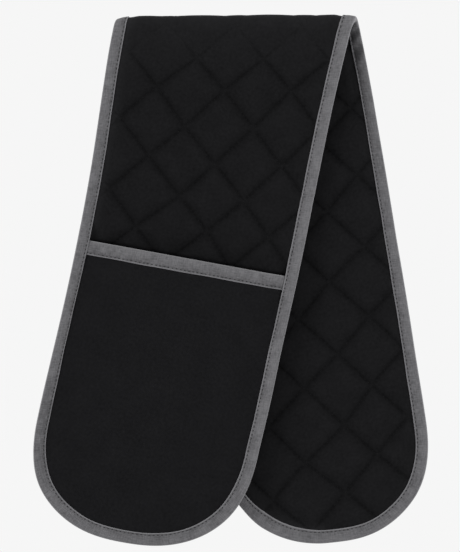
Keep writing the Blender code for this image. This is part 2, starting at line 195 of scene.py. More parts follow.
# Painted light and shade on the quilted cloth: lighter towards the fold, with a painted highlight along
# its top, lighter beside the bindings, and a line of painted shade just above each pocket's mouth.
FOLD_PAINTED_LIGHT_LENGTH = 0.060
FOLD_PAINTED_HIGHLIGHT = 1.9
FOLD_PAINTED_HIGHLIGHT_REACH = 0.0085
EDGE_PAINTED_LIGHT_LEFT = 2.0
EDGE_PAINTED_LIGHT_RIGHT = 0.2
EDGE_PAINTED_LIGHT_REACH = 0.0045
MOUTH_SHADE = 3
MOUTH_SHADE_REACH = 0.0020

# Points of the grids.
QUILT_COLUMNS = 139
QUILT_FOLD_ROWS = 19
QUILT_LEG_ROWS = 258
QUILT_FOLD_SHARE = 0.04
QUILT_END_ROWS = 66
POCKET_COLUMNS = 101
POCKET_ROWS = 76
POCKET_END_ROWS = 48
SETTLE_ROUNDS = 4
STRIP_PLACE_ROUNDS = 30
OUTLINE_STATIONS = 9001

# Stitches. The two forms have a number of sides, and rings by their place along and their size.
STITCH_PITCH = 0.0034
STITCH_LENGTH = 0.0015
STITCH_RADIUS = 0.00034
STITCH_LIFT = 0.00090
STITCH_INSET_FROM_LIP = 0.0017
QUILT_STITCH_RADIUS = 0.00022
QUILT_STITCH_LIFT = 0.00012
STEPS_PER_STITCH = 3
OUTWARD_STEP = 0.0005
TAPE_STITCH_FORM = (6, ((-0.46, 0.55), (-0.25, 0.95), (0.25, 0.95), (0.46, 0.55)))
QUILT_STITCH_FORM = (5, ((-0.42, 0.7), (0.42, 0.7)))
LINE_NUMBERS = np.arange(-12.0, 13.0)
LINE_PLACES = np.linspace(-12, 12, 721)
TRACE_STEPS = 24
TRACE_SHARE = 0.8
TRACE_ACROSS = 1.4 * HALF_WIDTH_AT_FOLD
TRACE_ALONG = 1.1 * HALF_LENGTH
TRACE_MISS = 0.003
FOLD_CLEARANCE = 0.0002

# Section of a binding: inset from its lip edge and lift above the layers, in mm.
# It starts at the folded lip, dips at the stitches and swells over the padded edge.
BINDING_PROFILE = np.array([
    (0.00, 0.02), (-0.05, 0.40), (0.10, 0.84), (0.40, 1.06), (0.80, 1.08), (1.15, 0.96),
    (1.45, 0.80), (1.70, 0.72), (1.95, 0.80), (2.40, 0.99), (3.20, 1.18), (4.40, 1.31),
    (5.60, 1.36), (6.80, 1.30), (7.80, 1.16)]) * MM
RIM_DEPTH = 0.0024
RIM_POWER = 2.2
RIM_STEPS = 9
HEM_STEP = 0.0002
HEM_TURN = 0.0016
GROOVE_LIFT = 0.00072
GROOVE_WIDTH = 0.00012
NEEDLE_DIP = 0.00009
# Paleness of a tape: along its lip's fold, a painted highlight on its rim, and painted light on its
# outer side that turns to painted shade towards its lip.
LIP_PALE_WIDTH = 0.0011
RIM_HIGHLIGHT_WIDTH = 0.0010
RIM_HIGHLIGHT_SHARE = 0.9
TAPE_OUTER_LIGHT_SHARE = 0.26

# The hand that fed the tapes: sine waves with a share, the inverse of a length and a seed's part,
# what they move, and a seed for each.
HAND_WAVES = ((1, 1 / 0.0061, 1, 0), (1.3, 1 / 0.0147, 2.3, 0), (1.1, 1 / 0.0310, 0.7, 0))
HAND_LIFT_SHARE = 0.07
EDGE_DRIFT = 0.00022
MOUTH_DRIFT = 0.00025
EDGE_SEED = 1.7
MOUTH_SEED = 0.4
MOUTH_LIFT_SEED = 2

# Unevenness of the edge binding, at turns down the left side (0 to 1), round the end (to 2) and
# up the right side (to 3), on the front and on the rear leg: how many mm narrower it lies than
# its full width, and how much paler or darker it is as a share of full paleness. The rear leg's
# darkening up its right side below the fold is painted shade.
LEG_COLUMNS = {1: 1, -1: 2}
NARROWER = np.array([
    (0, 0.9, 1.0), (0.25, 0.6, 1.0), (0.56, 0.95, 0.7), (0.66, 1.7, 0.5), (0.82, 1.65, 0.3),
    (0.95, 0.8, 0), (1.1, 0.7, -1.0), (1.28, 0.6, -2.3), (1.4, 0.4, -1.0), (1.5, 0.3, -0.4),
    (1.62, 0.3, 0), (1.8, 0.3, 0.7), (2.0, 0.3, 0.6), (2.3, 0.4, 0.5), (2.5, 0.1, 1.0),
    (2.7, 0.1, 1.3), (3.0, 0.1, 1.1)])
PALER_AND_SHADED = np.array([
    (0, 0, 0), (0.85, 0, 0), (0.95, -0.10, 0), (1.1, -0.13, 0), (1.3, 0, 0), (1.85, 0, 0),
    (2.0, 0.08, 0), (2.5, 0.08, 0), (2.7, 0.08, -0.06), (2.85, 0.08, -0.11), (3.0, 0.08, -0.14)])


# The strip in the flat

def ramp(value, start, length):
    """Smooth step: 3 q q - 2 q q q, where q is the share of the length past the start."""
    share = np.clip((value - start) / length, 0, 1)
    return share * share * (3 - 2 * share)


def bell(share):
    """e to the power of minus the square."""
    return np.exp(-share ** 2)


def waves(table, turn, across):
    """Sine waves added up, each with its share, turns, slant across and start."""
    return sum(share * np.sin(turns * turn + slant * across + start)
               for share, turns, slant, start in table)


def path_length(x, y):
    """Length along a path up to each of its points."""
    return np.concatenate([[0], np.cumsum(np.hypot(np.diff(x), np.diff(y)))])


def side_half_width(v):
    """Half width of the straight sides: the pocket's, and a flare that fades as half a cosine wave."""
    share = np.minimum(np.abs(v) / TAPER_LENGTH, 1)
    flare = HALF_WIDTH_AT_FOLD - HALF_WIDTH_AT_POCKET
    return HALF_WIDTH_AT_POCKET + flare * (1 + np.cos(np.pi * share)) / 2


def corner_power(u, v):
    """Power of the superellipse that rounds a leg's end, on the side where a place lies."""
    front, rear = (np.where(u >= 0, CORNER_POWERS[leg, 1], CORNER_POWERS[leg, -1]) for leg in (1, -1))
    return np.where(v >= 0, front, rear)


def shoulder(u, s):
    """Sideways bulge of the right side at the fold: a smooth step down on the front and the rear."""
    beside = np.clip(u / HALF_WIDTH_AT_FOLD, 0, 1) ** 2
    front = 1 - ramp(s, 0, SHOULDER_FRONT_FADE)
    rear = 1 - ramp(-s, *SHOULDER_REAR_RUN)
    return SHOULDER * beside * front * rear


def pattern_point(u, v):
    """Strip to cutting pattern: polar coordinates of radius bend + u and angle lean + v / bend.

    The bend is each leg's own, and the front leg bows aside by a sine squared of its length.
    """
    bend = np.where(v >= 0, FRONT_BEND_RADIUS, REAR_BEND_RADIUS)
    heading = LEAN_ANGLE + v / bend
    reach = bend + u
    s = reach * np.sin(heading) - bend * math.sin(LEAN_ANGLE)
    bow = FRONT_BOW * np.sin(np.pi * np.clip(s / FRONT_BOW_LENGTH, 0, 1)) ** 2
    return reach * np.cos(heading) - bend * math.cos(LEAN_ANGLE) + bow + shoulder(u, s), s


def fold_start(leg, u):
    """The fold line as a distance down a leg: the v that makes s nothing in pattern_point."""
    bend = np.where(u > 0, REAR_BEND_RADIUS, FRONT_BEND_RADIUS)
    share = bend * math.sin(LEAN_ANGLE) / (bend + u)
    return leg * bend * (np.arcsin(share) - LEAN_ANGLE)


def toward_side(u, side):
    """Square of the share of the way from the middle to a side."""
    return np.clip(side * u / HALF_WIDTH_AT_POCKET, 0, 1) ** 2


def stray(u, s):
    """How far a hanging leg strays to the right of its pattern: smooth steps and bells."""
    low = ramp(-s, *STRAY_RISE)
    left = ramp(-u, *STRAY_LEFT_RISE)
    bells = sum(shift * toward_side(u, side) * bell((leg * s - place) / reach)
                for leg, side, place, reach, shift in STRAYS)
    return (STRAY_RIGHT * toward_side(u, 1) + STRAY_LEFT * left) * low + bells


def end_sag(u, s):
    """How much lower a leg's end hangs: a smooth step, on the rear leg by a squared sine wave across."""
    wave = np.sin(END_FILL_TURNS * np.pi * u / HALF_WIDTH_AT_POCKET) ** 2
    front = END_STRETCH * ramp(s, *END_STRETCH_RISE)
    return front + (END_FILL * wave - END_RAISE) * ramp(-s, *END_FILL_RISE)


def fold_droop(u, h):
    """How far the fold sinks: e to the power of minus the distance from the strip's left side.

    Only the outside of the cloth sinks, so that its inside still lies on the rail.
    """
    left = np.exp(-np.maximum(HALF_WIDTH_AT_FOLD + u, 0) / FOLD_DROOP_LENGTH)
    return FOLD_DROOP * left * np.clip((h / FOLD_DROOP_DEPTH + 1) / 2, 0, 1)


def sway(u, v):
    """Slow waves of a hanging leg, that start below the fold."""
    depth = SWAY_DEPTH * ramp(np.abs(v), FOLD_HALF_ARC, SWAY_LENGTH / 2)
    return depth * waves(SWAY_WAVES, 2 * np.pi * v / SWAY_LENGTH, u / HALF_WIDTH_AT_FOLD)


def hang(u, v, h):
    """Strip place and height to the frame: round the fold as polar coordinates, then straight down.

    The angle is the cloth's length from the fold over the fold's radius, up to a quarter turn.
    """
    x, s = pattern_point(u, v)
    leg = np.where(s >= 0, 1.0, -1.0)
    radius = FOLD_RADIUS + h + sway(u, v)
    angle = np.minimum(np.abs(s), FOLD_HALF_ARC) / FOLD_RADIUS
    drop = np.maximum(np.abs(s) - FOLD_HALF_ARC, 0) + fold_droop(u, h) * np.cos(angle) ** 2
    y = -leg * radius * np.sin(angle)
    z = radius * np.cos(angle) - RAIL_TOP - drop - end_sag(u, s)
    return np.stack([x + stray(u, s) + 0 * radius, y, z], axis=-1)


def edge_distance(u, v):
    """Distance in from the strip's outside: half width less |u|, or the same share of a rounded end."""
    power = corner_power(u, v)
    beyond = np.maximum(np.abs(v) - STRAIGHT_LENGTH, 0) / END_LENGTH
    beside = np.abs(u) / HALF_WIDTH_AT_POCKET
    rounded = HALF_WIDTH_AT_POCKET * (1 - (beside ** power + beyond ** power) ** (1 / power))
    return np.where(beyond > 0, rounded, side_half_width(v) - np.abs(u))


def inside_half_width(u, v):
    """Half width inside the binding's lip: less a superellipse's share over the rounded end."""
    power = corner_power(u, v)
    share = np.clip((np.abs(v) - STRAIGHT_LENGTH) / (TIP_INSIDE - STRAIGHT_LENGTH), 0, 1)
    return (side_half_width(v) - BAND_WIDTH) * (1 - share ** power) ** (1 / power)


def mouth_line(leg, u):
    """Distance of a pocket's mouth from the fold: a slight slope, and a smooth step at one end."""
    lift = MOUTH_END_LIFT * ramp(u, *MOUTH_END_RISE) if leg > 0 else 0
    return MOUTH_DISTANCE + MOUTH_DROP - MOUTH_SLOPES[leg] * u - lift


def raw_edge(leg, u):
    """Top edge of the pocket's cloth inside the mouth binding."""
    return mouth_line(leg, u) + BINDING_LIP


def pocket_looseness(u, v):
    """Share of the pocket's ease: 1 less the fourth powers of the shares across and along it."""
    along = np.clip((np.abs(v) - MOUTH_DISTANCE) / (TIP_INSIDE - MOUTH_DISTANCE), 0, 1)
    across = np.clip(np.abs(u) / np.maximum(inside_half_width(u, v), LAYER_GAP), 0, 1)
    return (1 - across ** CROWN_POWER) * (1 - along ** CROWN_POWER)


def lip_lift(v):
    """Extra height of the pocket's layers on the mouth binding's inner lip: a step down past it."""
    return BINDING_LIP * (1 - ramp(np.abs(v), MOUTH_BAND_END, BINDING_RUN_UP))


def nearness_to_fold(u, v):
    """1 on the fold, and a smooth step down to 0 below it."""
    return 1 - ramp(np.abs(pattern_point(u, v)[1]), 0, FOLD_SWELL_REACH)


def fold_swell(u, v):
    """Fullness of the fold on its outside: it rises with a smooth step from the strip's edge."""
    return FOLD_SWELL * nearness_to_fold(u, v) * ramp(edge_distance(u, v), *SWELL_RISE)


def right_swell(u, v):
    """More fullness on the fold's right half: smooth steps across the strip and in from the tape."""
    across = ramp(u, *RIGHT_SWELL_RISE)
    inside = ramp(edge_distance(u, v), BINDING_WIDTH, RIGHT_SWELL_INSET)
    return RIGHT_SWELL * nearness_to_fold(u, v) * across * inside


def gathers(u, v):
    """Strength of the gathers, a bell of places behind the right shoulder, and their slanted wave."""
    s = pattern_point(u, v)[1]
    turn = 2 * np.pi * (s - GATHER_SLANT * u) / GATHER_LENGTH
    wave = np.sin(turn + GATHER_WOBBLE * np.sin(GATHER_WOBBLE_TURNS * turn))
    return bell((s + GATHER_PLACE) / GATHER_REACH) * (u > 0), wave


def gather_shade(u, v, side):
    """How dark a tape is in its gathers' valleys and in the corner where it goes behind the front."""
    strength, wave = gathers(u, v)
    s = pattern_point(u, v)[1]
    corner = (s < 0) * (u > 0) * (1 - ramp(-s, *CORNER_SHADE_RUN))
    across = ramp(edge_distance(u, v), 0, BINDING_WIDTH)
    return (side < 0) * (VALLEY_SHADE * strength * (1 - wave) / 2 + CORNER_SHADE * corner * across)


def edge_height(u, v):
    """Height of what the edge binding holds: the quilt, and a smooth step up to quilt and pocket."""
    start = MOUTH_DISTANCE - BINDING_LIP - BINDING_RUN_UP
    pocket = ramp(np.abs(v), start, BINDING_RUN_UP) * (LAYER_GAP + POCKET_STACK + 2 * lip_lift(v))
    return QUILT_EDGE + pocket + fold_swell(u, v)


def edge_depth(u, v):
    """Inner side of what the edge binding holds: the quilt, and the raised waves of the gathers."""
    strength, wave = gathers(u, v)
    return -QUILT_EDGE - GATHER_DEPTH * strength * (1 + wave) / 2


def pocket_base(u, v):
    """Underside of the pocket's lining: quilt edge, lip, ease and soft hollows added up."""
    turn = 2 * np.pi * (np.abs(v) / POCKET_WAVE_LENGTH + POCKET_WAVE_START)
    ease = POCKET_EASE + POCKET_WAVE_DEPTH * waves(POCKET_WAVES, turn, u)
    return QUILT_EDGE + LAYER_GAP + lip_lift(v) + pocket_looseness(u, v) * ease


def pocket_top(u, v):
    """Outside of the pocket: its base and a stack that swells with its looseness."""
    swell = POCKET_WADDING_SWELL * pocket_looseness(u, v)
    return pocket_base(u, v) + 2 * (CLOTH + LAYER_GAP) + POCKET_EDGE_WADDING + swell


# Quilting

def strip_place(x, s):
    """Cutting pattern to strip: pattern_point turned round, by steps along the lean."""
    u = x
    v = s
    for _ in range(STRIP_PLACE_ROUNDS):
        found_x, found_s = pattern_point(u, v)
        u = u + (x - found_x) * math.cos(LEAN_ANGLE) + (s - found_s) * math.sin(LEAN_ANGLE)
        v = v + (s - found_s) * math.cos(LEAN_ANGLE) - (x - found_x) * math.sin(LEAN_ANGLE)
    return u, v


def photo_place(crossings, leg, height):
    """Places on the strip of crossings in the photo: through the camera, then up the hanging leg."""
    y = -leg * (FOLD_RADIUS + height)
    scale = PIXEL * (CAMERA_DISTANCE + y) / CAMERA_DISTANCE
    x = CAMERA_PLACE[0] + (crossings[:, 2] - PHOTO_MIDDLE[0]) * scale
    z = CAMERA_PLACE[1] - (crossings[:, 3] - PHOTO_MIDDLE[1]) * scale
    return strip_place(x, leg * (FOLD_HALF_ARC - RAIL_TOP - z))


def quilt_terms(u, v):
    """Terms of a third degree polynomial of the place, in lengths of 100 mm."""
    p = u / QUILT_UNIT
    q = v / QUILT_UNIT
    return np.stack([np.ones_like(p), p, q, p * q, q * q, q ** 3, p * q * q])


def bumps(u, v, centres):
    """Round bumps over the crossings: e to the power of minus the distance squared."""
    away = [np.hypot(u - centre_u, v - centre_v) for centre_u, centre_v in centres]
    return bell(np.stack(away) / BUMP_REACH)


def fit_quilting():
    """Factors of the terms by least squares, and of the bumps that take up what they miss."""
    front = photo_place(FRONT_CROSSINGS, 1, FRONT_CROSSING_HEIGHT)
    rear = photo_place(REAR_CROSSINGS, -1, REAR_CROSSING_HEIGHT)
    u, v = np.concatenate([front, rear], axis=1)
    numbers = np.concatenate([FRONT_CROSSINGS, REAR_CROSSINGS])[:, :2]
    terms = quilt_terms(u, v).T
    factors = np.linalg.lstsq(terms, numbers, rcond=None)[0]
    centres = np.stack([u, v], -1)
    loose = bumps(u, v, centres) + BUMP_SLACK * np.eye(len(u))
    return factors, centres, np.linalg.solve(loose, numbers - terms @ factors)


QUILTING = fit_quilting()


def quilt_counts(u, v):
    """How many stitch lines of each set lie before a place: terms and bumps, with their factors."""
    factors, centres, weights = QUILTING
    by_terms = np.tensordot(factors, quilt_terms(u, v), (0, 0))
    return by_terms + np.tensordot(weights, bumps(u, v, centres), (0, 0))


def quilt_puff(u, v):
    """Height of the quilted cells over their stitch lines.

    For each set of lines a bow of 1 - (1 - q) to a power, where q is the share of the way to
    mid cell; their product, less puckers that ripple along the lines and fade away from them.
    """
    counts = quilt_counts(u, v)
    gaps = np.abs(counts - np.round(counts)) * QUILT_SPACING
    bows = 1 - (1 - gaps / (QUILT_SPACING / 2)) ** PUFF_POWER
    turn = 2 * np.pi * QUILT_SPACING / PUCKER_LENGTH
    others = counts[::-1]
    ripples = bell(gaps / PUCKER_REACH) * np.cos(
        turn * others + PUCKER_WOBBLE * np.sin(PUCKER_WOBBLE_TURNS * others))
    held = ramp(edge_distance(u, v), BAND_WIDTH, PUFF_FADE)
    return held * (PUFF * bows[0] * bows[1] - PUCKER_DEPTH * (ripples[0] + ripples[1]))


def quilt_top(u, v):
    """Outer face of the quilt: its puffs, held down under the pocket."""
    under = ramp(np.abs(v), MOUTH_DISTANCE, BINDING_RUN_UP)
    free = np.clip(pocket_looseness(u, v) * POCKET_EASE / FREE_PUFF_LIFT, 0, 1)
    calm = 1 - nearness_to_fold(u, v) * (1 - FOLD_PUFF_SHARE)
    fullness = fold_swell(u, v) + right_swell(u, v)
    return QUILT_EDGE + fullness + quilt_puff(u, v) * calm * (1 - under * (1 - free))


def quilt_bottom(u, v):
    """Inner face of the quilt: its puffs, pressed flat where the cloth lies on the rail."""
    s = pattern_point(u, v)[1]
    return -QUILT_EDGE - quilt_puff(u, v) * ramp(np.abs(s), *CALM_FOLD_RISE)


# Grids and meshes

def straight_place(leg, across, along, inset, start):
    """A place on a leg's straight part: across is a share of the half width, and along a share of
    the way from the start line. Each is worked out from the other, a few times over."""
    u = across * (HALF_WIDTH_AT_FOLD - inset)
    for _ in range(SETTLE_ROUNDS):
        first = start(leg, u)
        v = first + along * (STRAIGHT_LENGTH - first)
        u = across * (side_half_width(v) - inset)
    return u, leg * v


def end_place(leg, x, y, inset):
    """A place on a leg's rounded end: a point of a disc stretched to the superellipse.

    In its direction (c, s) the superellipse reaches (|c| ^ n + |s| ^ n) ^ (-1 / n).
    """
    power = corner_power(x, leg)
    size = np.hypot(x, y)
    scale = ((np.abs(x) / size) ** power + (y / size) ** power) ** (-1 / power)
    u = x * scale * (HALF_WIDTH_AT_POCKET - inset)
    return u, leg * (STRAIGHT_LENGTH + y * scale * (END_LENGTH - inset))


def leg_grid(leg, columns, rows, end_rows, start):
    """Places over one leg as rows and columns of u and v, from a start line and round its end.

    The end has no pole: a square is mapped to a disc, x = a sqrt(1 - t t / 2) and
    y = t sqrt(1 - a a / 2).
    """
    across = np.linspace(-1, 1, columns)[None]
    t = np.linspace(0, 1, end_rows + 1)[1:, None]
    straight = straight_place(leg, across, rows[:, None], BINDING_LIP, start)
    end = end_place(leg, across * np.sqrt(1 - t * t / 2), t * np.sqrt(1 - across ** 2 / 2), BINDING_LIP)
    return np.concatenate([straight, end], axis=1)


def grid_faces(numbers):
    """Quads of a grid of numbered points."""
    corners = numbers[:-1, :-1], numbers[:-1, 1:], numbers[1:, 1:], numbers[1:, :-1]
    return np.stack(corners, -1).reshape(-1, 4)


def ring_faces(numbers):
    """Quads between rings of numbered points, once round each."""
    return grid_faces(np.concatenate([numbers, numbers[:, :1]], axis=1))


def enclosed_volume(points, faces):
    """Volume inside closed faces: a sixth of each fan triangle's triple product, added up."""
    total = 0.0
    for corner in range(1, faces.shape[1] - 1):
        a, b, c = points[faces[:, 0]], points[faces[:, corner]], points[faces[:, corner + 1]]
        total += np.einsum("ij,ij->", a, np.cross(b, c)) / 6
    return total


def add_object(name, data):
    """A new object in the scene."""
    item = bpy.data.objects.new(name, data)
    bpy.context.scene.collection.objects.link(item)
    return item


def make_piece(name, points, face_sets, finishes, layers=None, finish_numbers=None):
    """A mesh object from arrays of points and faces, turned so that its faces point outwards."""
    points = points.reshape(-1, 3)
    if sum(enclosed_volume(points, faces) for faces in face_sets) < 0:
        face_sets = [faces[:, ::-1] for faces in face_sets]
    corners = np.concatenate([faces.ravel() for faces in face_sets])
    sizes = np.concatenate([np.full(len(faces), faces.shape[1]) for faces in face_sets])
    mesh = bpy.data.meshes.new(name)
    mesh.vertices.add(len(points))
    mesh.vertices.foreach_set("co", points.astype(np.float32).ravel())
    mesh.loops.add(len(corners))
    mesh.loops.foreach_set("vertex_index", corners.astype(np.int32))
    mesh.polygons.add(len(sizes))
    mesh.polygons.foreach_set("loop_start", (np.cumsum(sizes) - sizes).astype(np.int32))
    if finish_numbers is not None:
        mesh.polygons.foreach_set("material_index", finish_numbers.astype(np.int32))
    for layer_name, places in (layers or {}).items():
        layer = mesh.uv_layers.new(name=layer_name)
        layer.data.foreach_set("uv", places.reshape(-1, 2)[corners].astype(np.float32).ravel())
    mesh.update(calc_edges=True)
    mesh.validate()
    mesh.shade_smooth()
    for finish in finishes:
        mesh.materials.append(finish)
    return add_object(name, mesh)


# Quilt and pockets

def make_slab(name, u, v, top, bottom, finishes, layers):
    """A padded piece between two heights over one grid, closed round its border.

    A layer has the two numbers of a place on the outer face and then those on the inner face.
    """
    points = np.stack([hang(u, v, top), hang(u, v, bottom)])
    numbers = np.arange(u.size).reshape(u.shape)
    rim = np.concatenate([numbers[0, :-1], numbers[:-1, -1], numbers[-1, :0:-1], numbers[:0:-1, 0]])
    after = np.roll(rim, -1)
    upper = grid_faces(numbers)
    lower = grid_faces(numbers + u.size)[:, ::-1]
    sides = np.stack([after, rim, rim + u.size, after + u.size], -1)
    finish_numbers = np.repeat([0, len(finishes) - 1], [len(upper), len(lower) + len(sides)])
    places = {key: np.moveaxis(np.array(layer), 1, -1) for key, layer in layers.items()}
    return make_piece(name, points, [np.concatenate([upper, lower, sides])], finishes, places,
                      finish_numbers)


def make_quilt(name, leg, finish):
    """The quilted cloths of a leg and half the fold, with the strength of the painted shade along their
    lines, and their painted light and shade.
    """
    near = np.linspace(0, QUILT_FOLD_SHARE, QUILT_FOLD_ROWS)
    far = np.linspace(QUILT_FOLD_SHARE, 1, QUILT_LEG_ROWS)
    rows = np.concatenate([near, far[1:]])
    u, v = leg_grid(leg, QUILT_COLUMNS, rows, QUILT_END_ROWS, fold_start)
    s = pattern_point(u, v)[1]
    strength = ramp(np.abs(s), *CREASE_RISE)
    beside = np.maximum(edge_distance(u, v) - BINDING_WIDTH, 0)
    # Painted light: lighter towards the fold, most along its top, and beside the bindings.
    painted_light_and_shade = 1 - ramp(np.abs(s), 0, FOLD_PAINTED_LIGHT_LENGTH) + FOLD_PAINTED_HIGHLIGHT * bell(s / FOLD_PAINTED_HIGHLIGHT_REACH)
    painted_light_and_shade += np.where(u < 0, EDGE_PAINTED_LIGHT_LEFT, EDGE_PAINTED_LIGHT_RIGHT) * bell(beside / EDGE_PAINTED_LIGHT_REACH)
    # Painted shade: a dark line on the outer face just above the pocket's mouth.
    with_mouth_shade = painted_light_and_shade - MOUTH_SHADE * bell((mouth_line(leg, u) - leg * v) / MOUTH_SHADE_REACH)
    counts = quilt_counts(u, v)
    layers = {"cloth": ((u, v), (u, v)), "quilting": (counts, counts),
              "crease_shade": ((strength, with_mouth_shade), (strength, painted_light_and_shade))}
    piece = make_slab(f"{name}_quilt", u, v, quilt_top(u, v), quilt_bottom(u, v), [finish], layers)
    return piece


def make_pocket(name, leg, finishes):
    """The padded pocket panel over the end of a leg, from its raw edge down."""
    rows = np.linspace(0, 1, POCKET_ROWS)
    u, v = leg_grid(leg, POCKET_COLUMNS, rows, POCKET_END_ROWS, raw_edge)
    piece = make_slab(f"{name}_pocket_panel", u, v, pocket_top(u, v), pocket_base(u, v), finishes,
                      {"cloth": ((u, v), (u, v))})
    return piece


# Bindings

def binding_section(width):
    """Section once round a folded tape: insets from the edge, sides from -1 to 1, and lifts.

    A point's height is mid layer + side * half the layers + lift on the side's own face. The
    rim is a half superellipse from one face to the other.
    """
    lip_inset = width - BINDING_PROFILE[:, 0]
    lift = BINDING_PROFILE[:, 1]
    turn = np.linspace(0, np.pi, RIM_STEPS + 2)[1:-1]
    c = np.cos(turn)
    s = np.sin(turn)
    size = (np.abs(c) ** RIM_POWER + s ** RIM_POWER) ** (-1 / RIM_POWER)
    rim_inset = RIM_DEPTH * (1 - s * size)
    rim_side = c * size
    hem_inset = np.array([width - HEM_STEP, HEM_TURN, BINDING_CLOTH, HEM_TURN, width - HEM_STEP])
    hem_side = np.array([-1, -1, 0, 1, 1])
    ones = np.ones(len(lift))
    inset = np.concatenate([lip_inset, rim_inset, lip_inset[::-1], hem_inset])
    side = np.concatenate([ones, rim_side, -ones, hem_side])
    lifts = np.concatenate([lift, lift[-1] * rim_side, -lift[::-1], 0 * hem_inset])
    return inset, side, lifts


def tape_layers(distance, inset, side, lifts, shade, paler_and_shaded):
    """Place along and round a tape, and how pale it is: most on its lip's fold, then a painted
    highlight on its rim.

    Between them painted light falls evenly from the rim in to the lip, where it turns to painted
    shade. With the paleness go the painted shade and the paler and darker stretches.
    """
    around = path_length(inset, lifts + side * QUILT_EDGE)
    # Paler along the lip's fold, a painted highlight on the rim, and painted light across from the rim
    # that turns to painted shade at the lip.
    lip = np.clip(1 - (inset.max() - inset) / LIP_PALE_WIDTH, 0, 1)
    rim = RIM_HIGHLIGHT_SHARE * np.clip(1 - inset / RIM_HIGHLIGHT_WIDTH, 0, 1)
    paleness_and_painted_light = lip + rim + TAPE_OUTER_LIGHT_SHARE * (0.5 - inset / inset.max())
    flat = np.zeros((len(distance), len(inset)))
    return {"cloth": np.stack([flat + distance[:, None], flat + around], -1),
            "paleness_and_shade": np.stack([flat + paleness_and_painted_light + paler_and_shaded, flat + shade], -1)}


def edge_place(leg, turn, inset):
    """A place on the outline of a leg, for turn 0 to 1 down the left side, to 2 round the end
    and to 3 up the right side, moved in by the inset."""
    side = np.where(turn < 1.5, -1, 1)
    share = np.clip(np.where(turn < 1.5, turn, 3 - turn), 0, 1)
    angle = np.pi * np.clip(turn - 1, 0, 1)
    straight = straight_place(leg, side, share, inset, fold_start)
    end = end_place(leg, -np.cos(angle), np.sin(angle), inset)
    return np.where((turn > 1) & (turn < 2), end, straight)


def by_turn(table, leg, turn):
    """A leg's value in a table at a turn of its outline, read evenly between the rows."""
    return np.interp(turn, table[:, 0], table[:, LEG_COLUMNS[leg]])


def fed_inset(leg, turn, inset):
    """Inset on a tape that lies narrower on one side: less by the square of the share to its lip."""
    return inset - by_turn(NARROWER, leg, turn) * MM * (inset / BINDING_WIDTH) ** 2


def even_turns(leg):
    """Turns along a leg's outline that are evenly spaced on the stitch line, a few per stitch."""
    dense = np.linspace(0, 3, OUTLINE_STATIONS)
    line = pattern_point(*edge_place(leg, dense, BINDING_WIDTH - STITCH_INSET_FROM_LIP))
    length = path_length(*line)
    stitches = round(length[-1] / STITCH_PITCH)
    stations = np.linspace(0, length[-1], stitches * STEPS_PER_STITCH + 1)
    return np.interp(stations, length, dense), stations


def hand_of_tape(distance, seed):
    """Small unevenness of a sewn tape: the mean of its sine waves."""
    return waves(HAND_WAVES, distance, seed) / len(HAND_WAVES)


def tape_heights(low, high, side, lifts, distance, seed):
    """Heights of a tape's section along its path: layers and lifts, with a dip at each needle hole."""
    steps = np.arange(len(distance))[:, None]
    on_face = np.abs(side) == 1
    hole = (steps % STEPS_PER_STITCH == 0) * bell((np.abs(lifts) - GROOVE_LIFT) / GROOVE_WIDTH) * on_face
    lively = 1 + HAND_LIFT_SHARE * hand_of_tape(distance[:, None], seed) * on_face
    layers = (low + high) / 2 + side * (high - low) / 2
    return layers + lifts * lively - np.sign(side) * NEEDLE_DIP * hole


def make_tube(name, points, layers, finish):
    """A closed skin over rings of points: quads round it and a flat cap at each end."""
    numbers = np.arange(points[..., 0].size).reshape(points.shape[:2])
    caps = np.stack([numbers[0][::-1], numbers[-1]])
    return make_piece(name, points, [ring_faces(numbers), caps], [finish], layers)


class EdgeTape:
    """The binding of a leg's edge: its path along the outline from fold to fold, and what it holds."""

    width = BINDING_WIDTH
    drift = EDGE_DRIFT
    seeds = (EDGE_SEED, 0)

    def __init__(self, leg):
        self.leg = leg
        self.stations, self.distance = even_turns(leg)

    def place(self, turn, inset, drift=0):
        """A place at a turn of the outline, an inset and a drift in from the edge."""
        return edge_place(self.leg, turn, fed_inset(self.leg, turn, inset) + drift)

    def layers(self, u, v):
        """Low and high side of what the tape holds."""
        return edge_depth(u, v), edge_height(u, v)

    def paleness_and_shade(self, u, v, side, inset):
        """Painted shade in the gathers and in the corner, and how much paler or darker the tape is,
        with painted shade on the rear leg's right side below the fold.
        """
        inward = np.clip((BINDING_WIDTH - inset) / LIP_PALE_WIDTH - 1, 0, 1)
        return gather_shade(u, v, side) * inward, by_turn(PALER_AND_SHADED, self.leg, self.stations)[:, None]


class MouthTape:
    """The binding of a pocket's mouth: its path across the leg, and what it holds."""

    width = MOUTH_BINDING_WIDTH
    drift = MOUTH_DRIFT
    seeds = (MOUTH_SEED, MOUTH_LIFT_SEED)

    def __init__(self, leg):
        self.leg = leg
        reach = HALF_WIDTH_AT_POCKET - BINDING_LIP
        stitches = round(2 * reach / STITCH_PITCH)
        self.stations = self.distance = np.linspace(-reach, reach, stitches * STEPS_PER_STITCH + 1)

    def place(self, u, inset, drift=0):
        """A place across the leg, an inset and a drift below the mouth."""
        return u, self.leg * (mouth_line(self.leg, u) + inset + drift)

    def layers(self, u, v):
        """Low and high side of the pocket's top edge."""
        raw = self.leg * np.maximum(self.leg * v, raw_edge(self.leg, u))
        return pocket_base(u, raw), pocket_top(u, raw)

    def paleness_and_shade(self, u, v, side, inset):
        """None: this tape has no painted shade, and no paler or darker stretches."""
        return 0, 0


